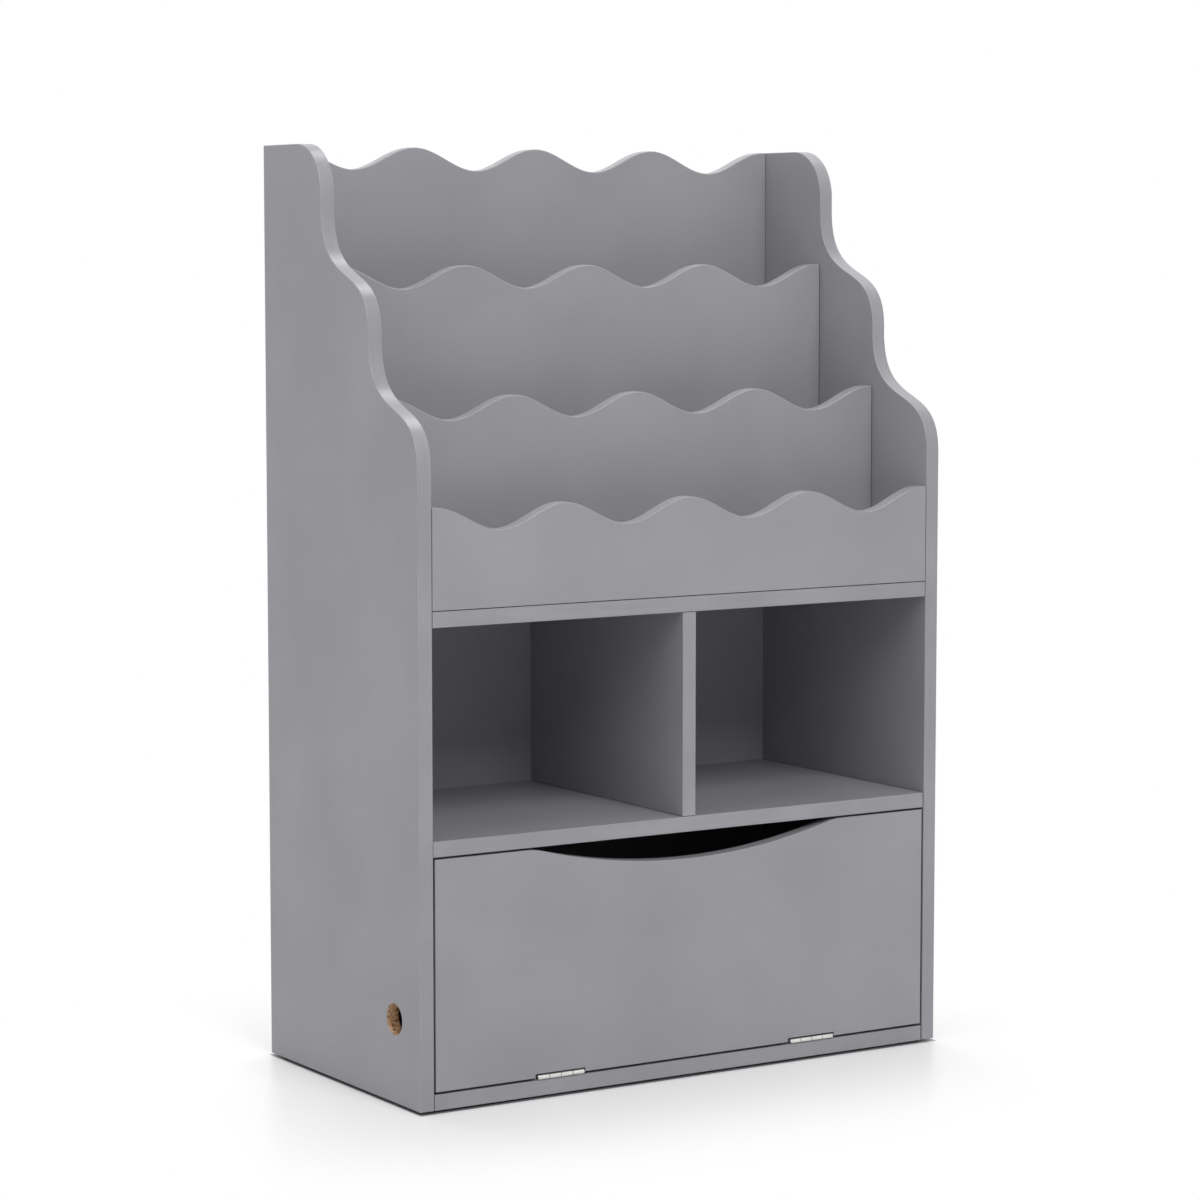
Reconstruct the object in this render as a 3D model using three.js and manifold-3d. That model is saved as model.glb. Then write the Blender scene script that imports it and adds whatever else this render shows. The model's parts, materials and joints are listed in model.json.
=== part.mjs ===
// A child's bookcase in painted board. Three stepped book pockets with wavy fronts stand over
// two open cubbies, and a fold-down flap closes the toy compartment at the bottom.
// Millimetres, +Z up. The front faces -Y, and the floor is at z = 0 under the middle of the cabinet.

import * as THREE from 'three';
import { mergeVertices } from 'three/addons/utils/BufferGeometryUtils.js';
import Module from 'manifold-3d';

const wasm = await Module();
wasm.setup();

// Boards
const cabinetWidth = 600;
const boardThickness = 15;
const edgeRadius = 1.5;

// Heights of the compartments, from the bottom up
const toyCompartmentHeight = 224;
const cubbyHeight = 199;
const pocketLip = 96; // crest of a tier board above the floor of its pocket
const middleTierRise = 97.5; // crest of the middle tier board above the bottom one
const topTierRise = 123; // crest of the top tier board above the middle one

// Depths of the compartments, from the front to the back
const pocketDepth = 77; // bottom and middle book pockets
const topPocketDepth = 84;
const backBoardInset = 4; // back board in from the rear edges of the side panels

// Waves along the top edges of the tier boards and the back board
const waveCount = 4;
const waveDepth = 22.4;
const waveFlat = 4; // straight bit between the last wave and a side panel

// Stepped front edge of the side panels
const swoopStraight = 3; // upright bit between the two S-curves
const swoopRise = 56; // top of a swoop above the crest of the tier board beside it
const swoopUpperPullShare = 0.72;
const swoopLowerPullShare = 0.64;
const crownStraight = 12.5; // upright bit between the top swoop and the crown
const crownRadius = 48;

// Vent bored through each side panel into the toy compartment
const ventDiameter = 30;
const ventInset = 49; // centre behind the front edge
const ventHeight = 80; // centre above the panel's foot

// Flap
const flapGap = 2; // shadow gap all round
const gripWidth = 347;
const gripDepth = 24;
const gripEase = 10; // softened run-out at each end of the finger cut-out

// Butt hinges along the foot of the flap
const hingeLength = 52;
const hingeInset = 138.5; // centre from the side panel's inner face
const knuckleCount = 4;
const knuckleGap = 0.3;
const barrelDiameter = 5;
const barrelProud = 2; // barrel in front of the flap's face
const barrelLift = 0.3; // barrel above the base board
const pinDiameter = 2;
const leafGap = 0.2; // between the two leaves of a closed hinge
const leafStartGap = 0.3; // between the barrel and the front edge of the other leaf
const leafSetback = 2; // rear edge of a leaf in front of the flap's rear face
const notchClearance = 0.7; // flap's notch around the barrel
const notchSideGap = 2;

// Countersunk screws of the hinges, catches and strike plates
const screwHeadDiameter = 5;
const screwHeadHeight = 1.3;
const screwShankDiameter = 2.5;
const screwSkin = 4; // board left beyond a screw's tip
const screwTipLength = 2.5;
const screwSlotWidth = 0.7;
const screwSlotLength = 2.8;
const screwSlotDepth = 0.8;
const hingeScrewSpacing = 30;

// Magnetic catches under the lower shelf and their strike plates on the flap
const catchInset = 35; // centre from the side panel's inner face
const catchLength = 38;
const catchDepth = 14;
const catchHeight = 13;
const catchGap = 0.3;
const catchScrewSpacing = 28;
const catchScrewSeat = 3.8; // height of the housing between the shelf and a screw's head
const strikeLength = 36;
const strikeHeight = 12;
const strikeThickness = 1;
const strikeDrop = 2; // strike plate's top edge below the flap's top edge

// Cam fittings that draw the shelves to the side panels
const camDiameter = 15;
const camRoof = 3; // board left over a cam
const camReach = 24; // cam's centre from the end of its shelf
const camInset = 60; // behind the front edge of the shelf
const camSlotWidth = 1.8;
const camSlotLength = 8;
const camSlotDepth = 2;
const boltThreadDiameter = 6;
const boltSkin = 4; // side panel left beyond a bolt's tip
const boltNeckDiameter = 4;
const boltHeadDiameter = 6.4;
const boltHeadLength = 2.4;

// Beech dowels at the rear of the shelves
const dowelDiameter = 8;
const dowelSkin = 5; // side panel left beyond a dowel's end
const dowelShelfBite = 20;
const dowelChamfer = 0.8;
const dowelInset = 60; // in front of the rear edge of the shelf

// Nailed glides under the side panels
const glideHeight = 2;
const glideChamfer = 0.6;
const glideInset = 25; // from the front and rear edges
const nailDiameter = 2;
const nailLength = 12;

// Shared clearance of turned parts in their bores, and overrun of every cut
const boreClearance = 0.3;
const cutOverrun = 1;

// Smoothness of round shapes
const edgeSteps = 2;
const curveSteps = 12;
const stepsPerWave = 12;
const ventSides = 36;
const camSides = 16;
const rodSides = 12;
const screwSides = 10;

// Levels above the panels' feet
const baseTop = boardThickness;
const lowerShelfBottom = baseTop + toyCompartmentHeight;
const lowerShelfTop = lowerShelfBottom + boardThickness;
const upperShelfBottom = lowerShelfTop + cubbyHeight;
const upperShelfTop = upperShelfBottom + boardThickness;
const bottomCrest = upperShelfTop + pocketLip;
const middleCrest = bottomCrest + middleTierRise;
const topCrest = middleCrest + topTierRise;
const swoopHeight = topTierRise - swoopStraight;
const panelHeight = topCrest + swoopRise + crownStraight + crownRadius;
const middlePocketLevel = middleCrest - pocketLip;
const topPocketLevel = topCrest - pocketLip;

// Depths behind the front plane
const middleTierFront = boardThickness + pocketDepth;
const topTierFront = middleTierFront + boardThickness + pocketDepth;
const backBoardFront = topTierFront + boardThickness + topPocketDepth;
const panelDepth = backBoardFront + boardThickness + backBoardInset;

// Widths, and the middles of the hinges and catches either side of the cabinet's middle
const innerWidth = cabinetWidth - 2 * boardThickness;
const flapWidth = innerWidth - 2 * flapGap;
const flapHeight = toyCompartmentHeight - 2 * flapGap;
const hingeOffset = innerWidth / 2 - hingeInset;
const catchOffset = innerWidth / 2 - catchInset;

// Hinge axis in the cabinet's frame
const barrelRadius = barrelDiameter / 2;
const axisDepth = barrelRadius - barrelProud;
const axisLevel = baseTop + barrelLift + barrelRadius;
const leafThickness = (flapGap - leafGap) / 2;
const leafReach = boardThickness - leafSetback - axisDepth;

// Fittings sized to the boards that hold them
const midBoard = boardThickness / 2;
const screwLength = boardThickness - screwSkin;
const camHeight = boardThickness - camRoof;
const boltBite = boardThickness - boltSkin;
const dowelPanelBite = boardThickness - dowelSkin;
const glideDiameter = boardThickness - 2 * edgeRadius;
const jointWaste = 2 * edgeRadius + cutOverrun; // outline past a joint that is cut square

// Left and right, and turns in degrees
const sides = [-1, 1];
const quarterTurn = 90;

// Finishes
const paint = { color: 0x97979b, roughness: 0.55, metalness: 0 };
const nickel = { color: 0xd2d2ce, roughness: 0.25, metalness: 1 };
const zinc = { color: 0xb9bab8, roughness: 0.4, metalness: 1 };
const beech = { color: 0xc8a273, roughness: 0.7, metalness: 0 };
const glidePlastic = { color: 0x3a3a3c, roughness: 0.6, metalness: 0 };
const catchPlastic = { color: 0xe4e3df, roughness: 0.5, metalness: 0 };

// Turns from a drawing's XY plane: standing up with depth along Y, or sideways with depth along X
const axisX = new THREE.Vector3(1, 0, 0);
const axisY = new THREE.Vector3(0, 1, 0);
const axisZ = new THREE.Vector3(0, 0, 1);
const standingBasis = new THREE.Matrix4().makeBasis(axisX, axisZ, axisY.clone().negate());
const sidewaysBasis = new THREE.Matrix4().makeBasis(axisY, axisZ, axisX);

// Geometry to closed solid, without the slivers that lathes leave on their axis
function solidOf(geometry) {
  const bare = geometry.clone();
  bare.deleteAttribute('normal');
  bare.deleteAttribute('uv');
  const merged = mergeVertices(bare);
  const index = merged.index.array;
  const corners = [];
  for (let i = 0; i < index.length; i += 3) {
    const [a, b, c] = [index[i], index[i + 1], index[i + 2]];
    if (a !== b && b !== c && c !== a) corners.push(a, b, c);
  }
  const vertProperties = merged.attributes.position.array;
  const triVerts = Uint32Array.from(corners);
  return new wasm.Manifold(new wasm.Mesh({ numProp: 3, vertProperties, triVerts }));
}

function wordOf(side) {
  return side < 0 ? 'left' : 'right';
}

function meshOf(name, solid, finish, position = [0, 0, 0]) {
  const data = solid.getMesh();
  const geometry = new THREE.BufferGeometry();
  geometry.setAttribute('position', new THREE.BufferAttribute(data.vertProperties, 3));
  geometry.setIndex(new THREE.BufferAttribute(data.triVerts, 1));
  geometry.computeVertexNormals();
  const mesh = new THREE.Mesh(geometry, new THREE.MeshStandardMaterial(finish));
  mesh.name = name;
  mesh.position.set(...position);
  return mesh;
}

function cutAll(solid, cutters) {
  return cutters.reduce((rest, cutter) => rest.subtract(cutter), solid);
}

function joinAll(solids) {
  return solids.reduce((whole, solid) => whole.add(solid));
}

// A block from its lowest to its highest corner
function block(low, high) {
  const size = high.map((value, axis) => value - low[axis]);
  const geometry = new THREE.BoxGeometry(...size);
  geometry.translate(...low.map((value, axis) => value + size[axis] / 2));
  return solidOf(geometry);
}

// A round rod between two points
function rod(diameter, start, end, sides = rodSides) {
  const from = new THREE.Vector3(...start);
  const along = new THREE.Vector3(...end).sub(from);
  const geometry = new THREE.CylinderGeometry(diameter / 2, diameter / 2, along.length(), sides);
  geometry.translate(0, along.length() / 2, 0);
  geometry.applyQuaternion(new THREE.Quaternion().setFromUnitVectors(axisY, along.clone().normalize()));
  geometry.translate(...start);
  return solidOf(geometry);
}

// A turned piece from its profile of radius and height, standing along Z
function turned(profile, sides) {
  const points = profile.map(([radius, height]) => new THREE.Vector2(radius, height));
  const geometry = new THREE.LatheGeometry(points, sides);
  geometry.applyMatrix4(standingBasis);
  return solidOf(geometry);
}

// A board with softened edges, lying flat on the XY plane
function boardGeometry(outline) {
  const geometry = new THREE.ExtrudeGeometry(outline, {
    depth: boardThickness - 2 * edgeRadius,
    bevelThickness: edgeRadius,
    bevelSize: edgeRadius,
    bevelOffset: -edgeRadius,
    bevelSegments: edgeSteps,
    curveSegments: curveSteps,
  });
  geometry.translate(0, 0, edgeRadius);
  return geometry;
}

function lyingBoard(outline) {
  return solidOf(boardGeometry(outline));
}

// The outline's width runs along X and its height along Z, and the face is at y = 0
function frontBoard(outline) {
  const geometry = boardGeometry(outline);
  geometry.applyMatrix4(standingBasis);
  geometry.translate(0, boardThickness, 0);
  return solidOf(geometry);
}

// The outline's width runs along Y and its height along Z
function sideBoard(outline) {
  const geometry = boardGeometry(outline);
  geometry.applyMatrix4(sidewaysBasis);
  return solidOf(geometry);
}

// A board cut square at its joints: the outline runs past them by jointWaste, and this trims it to size
function cutSquare(board, low, high) {
  return board.intersect(block(low, high));
}

function rectangle(left, bottom, right, top) {
  const outline = new THREE.Shape();
  outline.moveTo(left, bottom);
  outline.lineTo(right, bottom);
  outline.lineTo(right, top);
  outline.lineTo(left, top);
  outline.closePath();
  return outline;
}

// A board with whole waves along its top, from a crest at one end to a crest at the other
function wavyBoard(height) {
  const half = innerWidth / 2;
  const rough = half + jointWaste;
  const waveLength = (innerWidth - 2 * waveFlat) / waveCount;
  const steps = waveCount * stepsPerWave;
  const outline = new THREE.Shape();
  outline.moveTo(-rough, -jointWaste);
  outline.lineTo(rough, -jointWaste);
  outline.lineTo(rough, height);
  for (let step = 0; step <= steps; step += 1) {
    const turn = (2 * Math.PI * step) / stepsPerWave;
    const across = half - waveFlat - (waveLength * step) / stepsPerWave;
    outline.lineTo(across, height - (waveDepth * (1 - Math.cos(turn))) / 2);
  }
  outline.lineTo(-rough, height);
  outline.closePath();
  return cutSquare(frontBoard(outline), [-half, 0, 0], [half, boardThickness, height]);
}

// Side panels

function panelOutline() {
  const outline = new THREE.Shape();
  outline.moveTo(panelDepth, 0);
  outline.lineTo(panelDepth, panelHeight);
  const crownDepth = topTierFront + crownRadius;
  outline.lineTo(crownDepth, panelHeight);
  outline.absarc(crownDepth, panelHeight - crownRadius, crownRadius, Math.PI / 2, Math.PI, false);
  const swoops = [
    { back: topTierFront, front: middleTierFront, top: topCrest + swoopRise },
    { back: middleTierFront, front: 0, top: middleCrest + swoopRise },
  ];
  for (const { back, front, top } of swoops) {
    const bottom = top - swoopHeight;
    const upperPull = top - swoopUpperPullShare * swoopHeight;
    const lowerPull = bottom + swoopLowerPullShare * swoopHeight;
    outline.lineTo(back, top);
    outline.bezierCurveTo(back, upperPull, front, lowerPull, front, bottom);
  }
  outline.lineTo(0, 0);
  outline.closePath();
  return outline;
}

const shelfLevels = [
  { name: 'base', level: 0 },
  { name: 'lower', level: lowerShelfBottom },
  { name: 'upper', level: upperShelfBottom },
];
const shelfDepth = backBoardFront;
const dowelDepth = shelfDepth - dowelInset;
const glideDepths = [glideInset, panelDepth - glideInset];

// Diameter of the bore for a turned piece
function boreFor(diameter) {
  return diameter + 2 * boreClearance;
}

// Bores of one panel, with inner as its inner face and outward as the way out of the cabinet
function panelBores(inner, outward) {
  const boreAcross = (diameter, bite, depth, height, roundness) => {
    const mouth = inner - outward * cutOverrun;
    return rod(diameter, [mouth, depth, height], [inner + outward * bite, depth, height], roundness);
  };
  const bores = [boreAcross(ventDiameter, boardThickness + cutOverrun, ventInset, ventHeight, ventSides)];
  for (const { level } of shelfLevels) {
    const height = level + midBoard;
    bores.push(boreAcross(boreFor(boltThreadDiameter), boltBite + boreClearance, camInset, height));
    bores.push(boreAcross(boreFor(dowelDiameter), dowelPanelBite + boreClearance, dowelDepth, height));
  }
  const middle = inner + outward * midBoard;
  for (const depth of glideDepths) {
    const end = [middle, depth, nailLength + boreClearance];
    bores.push(rod(boreFor(nailDiameter), [middle, depth, -cutOverrun], end, screwSides));
  }
  return bores;
}

function sidePanel(name, left, inner, outward) {
  const panel = cutAll(sideBoard(panelOutline()), panelBores(inner - left, outward));
  return meshOf(name, panel, paint, [left, 0, 0]);
}

// Shelves with the bores of their fittings, measured from their own front edge and underside

function shelfBores() {
  const bores = [];
  for (const side of sides) {
    const end = (side * innerWidth) / 2;
    const mouth = end + side * cutOverrun;
    const camCentre = end - side * camReach;
    const camEnd = [camCentre, camInset, camHeight + boreClearance];
    const dowelEnd = [end - side * (dowelShelfBite + boreClearance), dowelDepth, midBoard];
    bores.push(rod(boreFor(camDiameter), [camCentre, camInset, -cutOverrun], camEnd, camSides));
    bores.push(rod(boreFor(boltNeckDiameter), [mouth, camInset, midBoard], [camCentre, camInset, midBoard]));
    bores.push(rod(boreFor(dowelDiameter), [mouth, dowelDepth, midBoard], dowelEnd));
  }
  return bores;
}

function shelf(name, level, moreCuts = []) {
  const half = innerWidth / 2;
  const rough = lyingBoard(rectangle(-half - jointWaste, 0, half + jointWaste, shelfDepth + jointWaste));
  const board = cutSquare(rough, [-half, 0, 0], [half, shelfDepth, boardThickness]);
  return meshOf(name, cutAll(board, [...shelfBores(), ...moreCuts]), paint, [0, 0, level]);
}

// Screws, with the head's face at z = 0 and the tip below it

function screwBody(growth = 0) {
  const head = screwHeadDiameter / 2 + growth;
  const shank = screwShankDiameter / 2 + growth;
  const tip = -screwLength - growth;
  const profile = [
    [0, tip],
    [shank, tip + screwTipLength],
    [shank, -screwHeadHeight],
    [head, 0],
    [0, 0],
  ];
  return turned(profile, screwSides);
}

// A cross recess sunk from z = 0
function crossCutters(length, width, depth) {
  const long = length / 2;
  const thin = width / 2;
  return [
    block([-long, -thin, -depth], [long, thin, cutOverrun]),
    block([-thin, -long, -depth], [thin, long, cutOverrun]),
  ];
}

function screwSolid() {
  return cutAll(screwBody(), crossCutters(screwSlotLength, screwSlotWidth, screwSlotDepth));
}

// A bore for a screw, with a straight mouth above the head so that nothing thin is left over it
function screwBore() {
  const mouth = rod(boreFor(screwHeadDiameter), [0, 0, -boreClearance / 2], [0, 0, cutOverrun], screwSides);
  return screwBody(boreClearance).add(mouth);
}

const headUp = [0, 0, 0];
const headDown = [2 * quarterTurn, 0, 0];
const headBack = [-quarterTurn, 0, 0];

function screwMesh(name, position, turn) {
  return meshOf(name, screwSolid().rotate(turn), nickel, position);
}

// Hinges, in a frame whose X axis is the pin, with the hinge's middle at x = 0

const leafStart = barrelRadius + leafStartGap;
const screwSeatDepth = (leafStart + leafReach) / 2;
const cabinetLeafBottom = baseTop - axisLevel;
const cabinetLeafTop = cabinetLeafBottom + leafThickness;
const flapBottom = baseTop + flapGap - axisLevel;
const flapLeafBottom = flapBottom - leafThickness;

function hingeLeaf(bottom, firstKnuckle, screwFace, turn) {
  const top = bottom + leafThickness;
  const pitch = hingeLength / knuckleCount;
  const half = hingeLength / 2;
  const pieces = [block([-half, leafStart, bottom], [half, leafReach, top])];
  for (let knuckle = firstKnuckle; knuckle < knuckleCount; knuckle += 2) {
    const left = knuckle * pitch - half + knuckleGap / 2;
    const right = left + pitch - knuckleGap;
    pieces.push(block([left, 0, bottom], [right, leafReach, top]));
    pieces.push(rod(barrelDiameter, [left, 0, 0], [right, 0, 0], camSides));
  }
  const pinBore = rod(boreFor(pinDiameter), [-half - cutOverrun, 0, 0], [half + cutOverrun, 0, 0]);
  const bores = sides.map((side) =>
    screwBore().rotate(turn).translate((side * hingeScrewSpacing) / 2, screwSeatDepth, screwFace),
  );
  return cutAll(joinAll(pieces), [pinBore, ...bores]);
}

function hinge(side, cabinet, flap) {
  const word = wordOf(side);
  const across = side * hingeOffset;
  const onCabinet = [across, axisDepth, axisLevel];
  const onFlap = [across, 0, 0];
  const half = hingeLength / 2;
  const cabinetLeaf = hingeLeaf(cabinetLeafBottom, 0, cabinetLeafTop, headUp);
  const flapLeaf = hingeLeaf(flapLeafBottom, 1, flapLeafBottom, headDown);
  const pin = rod(pinDiameter, [-half, 0, 0], [half, 0, 0]);
  cabinet.add(meshOf(`${word}_hinge_cabinet_leaf`, cabinetLeaf, nickel, onCabinet));
  cabinet.add(meshOf(`${word}_hinge_pin`, pin, nickel, onCabinet));
  flap.add(meshOf(`${word}_hinge_flap_leaf`, flapLeaf, nickel, onFlap));
  sides.forEach((screwSide, index) => {
    const x = across + (screwSide * hingeScrewSpacing) / 2;
    const low = [x, axisDepth + screwSeatDepth, axisLevel + cabinetLeafTop];
    const high = [x, screwSeatDepth, flapLeafBottom];
    cabinet.add(screwMesh(`${word}_hinge_cabinet_screw_${index + 1}`, low, headUp));
    flap.add(screwMesh(`${word}_hinge_flap_screw_${index + 1}`, high, headDown));
  });
}

// Places of the hinge screws, as x offsets from the middle of the cabinet
function hingeScrewPlaces() {
  const half = hingeScrewSpacing / 2;
  return sides.flatMap((side) => sides.map((screwSide) => side * hingeOffset + screwSide * half));
}

// Base board, with the bores of the hinge screws from its top face
function baseBoard() {
  const depth = axisDepth + screwSeatDepth;
  const bores = hingeScrewPlaces().map((x) => screwBore().translate(x, depth, baseTop + leafThickness));
  return shelf('base_board', 0, bores);
}

// Catches hang under the lower shelf, and their strike plates sit behind the flap

const strikeTop = flapBottom + flapHeight - strikeDrop;
const strikeCentre = strikeTop - strikeHeight / 2;
const strikeDepth = boardThickness - axisDepth;
const catchDepthStart = boardThickness + strikeThickness + catchGap;
const catchScrewDepth = catchDepthStart + catchDepth / 2;

function catchScrewPlaces(side) {
  return sides.map((screwSide) => side * catchOffset + (screwSide * catchScrewSpacing) / 2);
}

function magneticCatch(side, cabinet, flap) {
  const word = wordOf(side);
  const across = side * catchOffset;
  const half = catchLength / 2;
  const housing = block([-half, 0, -catchHeight], [half, catchDepth, 0]);
  const seats = sides.map((screwSide) => {
    const x = (screwSide * catchScrewSpacing) / 2;
    const mouth = [x, catchDepth / 2, -catchHeight - cutOverrun];
    const well = rod(boreFor(screwHeadDiameter), mouth, [x, catchDepth / 2, -catchScrewSeat], screwSides);
    return screwBore().rotate(headDown).translate(x, catchDepth / 2, -catchScrewSeat).add(well);
  });
  const housingPlace = [across, catchDepthStart, lowerShelfBottom];
  cabinet.add(meshOf(`${word}_catch`, cutAll(housing, seats), catchPlastic, housingPlace));
  catchScrewPlaces(side).forEach((x, index) => {
    const place = [x, catchScrewDepth, lowerShelfBottom - catchScrewSeat];
    cabinet.add(screwMesh(`${word}_catch_screw_${index + 1}`, place, headDown));
  });

  const plateHalf = strikeLength / 2;
  const plateRise = strikeHeight / 2;
  const plate = block([-plateHalf, 0, -plateRise], [plateHalf, strikeThickness, plateRise]);
  const seat = screwBore().rotate(headBack).translate(0, strikeThickness, 0);
  const platePlace = [across, strikeDepth, strikeCentre];
  const screwPlace = [across, strikeDepth + strikeThickness, strikeCentre];
  flap.add(meshOf(`${word}_strike_plate`, plate.subtract(seat), nickel, platePlace));
  flap.add(screwMesh(`${word}_strike_screw`, screwPlace, headBack));
}

// Lower shelf, with the bores of the catch screws from its underside
function lowerShelf() {
  const places = sides.flatMap(catchScrewPlaces);
  const bore = screwBore().rotate(headDown);
  const bores = places.map((x) => bore.translate(x, catchScrewDepth, -catchScrewSeat));
  return shelf('lower_shelf', lowerShelfBottom, bores);
}

// Flap, in the frame of its hinge axis

function flapOutline() {
  const half = flapWidth / 2;
  const grip = gripWidth / 2;
  const radius = (grip * grip + gripDepth * gripDepth) / (2 * gripDepth);
  const centreLevel = flapHeight - gripDepth + radius;
  const sweep = Math.asin((grip - gripEase) / radius);
  const arcEndLevel = centreLevel - radius * Math.cos(sweep);
  const outline = new THREE.Shape();
  outline.moveTo(-half, 0);
  outline.lineTo(half, 0);
  outline.lineTo(half, flapHeight);
  outline.lineTo(grip + gripEase, flapHeight);
  outline.quadraticCurveTo(grip, flapHeight, grip - gripEase, arcEndLevel);
  outline.absarc(0, centreLevel, radius, sweep - Math.PI / 2, -sweep - Math.PI / 2, true);
  outline.quadraticCurveTo(-grip, flapHeight, -grip - gripEase, flapHeight);
  outline.lineTo(-half, flapHeight);
  outline.closePath();
  return outline;
}

function flapDoor() {
  const notchHalf = hingeLength / 2 + notchSideGap;
  const notchTop = barrelRadius + notchClearance - flapBottom;
  const notchDepth = axisDepth + barrelRadius + notchClearance;
  const notches = sides.map((side) => {
    const [left, right] = [side * hingeOffset - notchHalf, side * hingeOffset + notchHalf];
    return block([left, -cutOverrun, -cutOverrun], [right, notchDepth, notchTop]);
  });
  const hingeBores = hingeScrewPlaces().map((x) => {
    return screwBore().rotate(headDown).translate(x, axisDepth + screwSeatDepth, -leafThickness);
  });
  const strikeFace = boardThickness + strikeThickness;
  const strikeBores = sides.map((side) => {
    return screwBore().rotate(headBack).translate(side * catchOffset, strikeFace, strikeCentre - flapBottom);
  });
  const door = cutAll(frontBoard(flapOutline()), [...notches, ...hingeBores, ...strikeBores]);
  return meshOf('flap_door', door, paint, [0, -axisDepth, flapBottom]);
}

// Cam fittings and dowels, with the bolts and dowels lying along X from the end of their shelf

function camSolid(side) {
  const cross = crossCutters(camSlotLength, camSlotWidth, camSlotDepth);
  const headHalf = boltHeadLength / 2 + boreClearance;
  const rim = side * (camDiameter / 2 + cutOverrun);
  const chamber = rod(boreFor(boltHeadDiameter), [-headHalf, 0, midBoard], [headHalf, 0, midBoard]);
  const slot = rod(boreFor(boltNeckDiameter), [0, 0, midBoard], [rim, 0, midBoard]);
  const disc = rod(camDiameter, [0, 0, 0], [0, 0, camHeight], camSides);
  return cutAll(disc, [chamber, slot, ...cross.map((cutter) => cutter.rotate(headDown))]);
}

function boltSolid(side) {
  const reach = camReach + boltHeadLength / 2;
  const profile = [
    [0, -boltBite],
    [boltThreadDiameter / 2, -boltBite],
    [boltThreadDiameter / 2, 0],
    [boltNeckDiameter / 2, 0],
    [boltNeckDiameter / 2, reach - boltHeadLength],
    [boltHeadDiameter / 2, reach - boltHeadLength],
    [boltHeadDiameter / 2, reach],
    [0, reach],
  ];
  return turned(profile, rodSides).rotate([0, -side * quarterTurn, 0]);
}

function dowelSolid(side) {
  const radius = dowelDiameter / 2;
  const profile = [
    [0, -dowelPanelBite],
    [radius - dowelChamfer, -dowelPanelBite],
    [radius, dowelChamfer - dowelPanelBite],
    [radius, dowelShelfBite - dowelChamfer],
    [radius - dowelChamfer, dowelShelfBite],
    [0, dowelShelfBite],
  ];
  return turned(profile, rodSides).rotate([0, -side * quarterTurn, 0]);
}

function fittings(cabinet) {
  for (const { name, level } of shelfLevels) {
    for (const side of sides) {
      const word = wordOf(side);
      const end = (side * innerWidth) / 2;
      const height = level + midBoard;
      const camPlace = [end - side * camReach, camInset, level];
      cabinet.add(meshOf(`${name}_${word}_cam`, camSolid(side), zinc, camPlace));
      cabinet.add(meshOf(`${name}_${word}_bolt`, boltSolid(side), zinc, [end, camInset, height]));
      cabinet.add(meshOf(`${name}_${word}_dowel`, dowelSolid(side), beech, [end, dowelDepth, height]));
    }
  }
}

// Glides, with their nails in the feet of the side panels
function glides(cabinet) {
  const radius = glideDiameter / 2;
  const profile = [
    [0, -glideHeight],
    [radius - glideChamfer, -glideHeight],
    [radius, glideChamfer - glideHeight],
    [radius, 0],
    [nailDiameter / 2, 0],
    [nailDiameter / 2, nailLength],
    [0, nailLength],
  ];
  ['front', 'rear'].forEach((end, index) => {
    for (const side of sides) {
      const place = [(side * (cabinetWidth - boardThickness)) / 2, glideDepths[index], 0];
      cabinet.add(meshOf(`${end}_${wordOf(side)}_glide`, turned(profile, rodSides), glidePlastic, place));
    }
  });
}

// Tiers, from the front to the back
function tiers(cabinet) {
  const boards = [
    { name: 'bottom_tier_board', front: 0, foot: upperShelfTop, crest: bottomCrest },
    { name: 'middle_tier_board', front: middleTierFront, foot: upperShelfTop, crest: middleCrest },
    { name: 'top_tier_board', front: topTierFront, foot: middlePocketLevel, crest: topCrest },
    { name: 'back_board', front: backBoardFront, foot: 0, crest: panelHeight },
  ];
  for (const { name, front, foot, crest } of boards) {
    cabinet.add(meshOf(name, wavyBoard(crest - foot), paint, [0, front, foot]));
  }
  const middleFloorFront = middleTierFront + boardThickness;
  const topFloorFront = topTierFront + boardThickness;
  const floors = [
    { name: 'middle_pocket_floor', front: middleFloorFront, back: topFloorFront, top: middlePocketLevel },
    { name: 'top_pocket_floor', front: topFloorFront, back: backBoardFront, top: topPocketLevel },
  ];
  const half = innerWidth / 2;
  for (const { name, front, back, top } of floors) {
    const floor = block([-half, front, top - boardThickness], [half, back, top]);
    cabinet.add(meshOf(name, floor, paint));
  }
}

function cubbyDivider() {
  const rough = sideBoard(rectangle(0, -jointWaste, shelfDepth + jointWaste, cubbyHeight + jointWaste));
  const board = cutSquare(rough, [0, 0, 0], [boardThickness, shelfDepth, cubbyHeight]);
  return meshOf('cubby_divider', board, paint, [-midBoard, 0, lowerShelfTop]);
}

// The cabinet's frame starts at its front plane, on the feet of its panels
const overallDepth = panelDepth + barrelProud;
const cabinet = new THREE.Group();
cabinet.position.set(0, barrelProud - overallDepth / 2, glideHeight);

const flap = new THREE.Group();
flap.position.set(0, axisDepth, axisLevel);
cabinet.add(flap);

const innerHalf = innerWidth / 2;
cabinet.add(sidePanel('left_side_panel', -innerHalf - boardThickness, -innerHalf, -1));
cabinet.add(sidePanel('right_side_panel', innerHalf, innerHalf, 1));
cabinet.add(baseBoard());
cabinet.add(lowerShelf());
cabinet.add(shelf('upper_shelf', upperShelfBottom));
cabinet.add(cubbyDivider());
tiers(cabinet);
flap.add(flapDoor());
for (const side of sides) {
  hinge(side, cabinet, flap);
  magneticCatch(side, cabinet, flap);
}
fittings(cabinet);
glides(cabinet);

export default cabinet;
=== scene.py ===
import json
from math import asin, atan2, cos, degrees, pi, radians, sin, sqrt, tan

import bmesh
import bpy
from mathutils import Matrix, Vector

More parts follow.
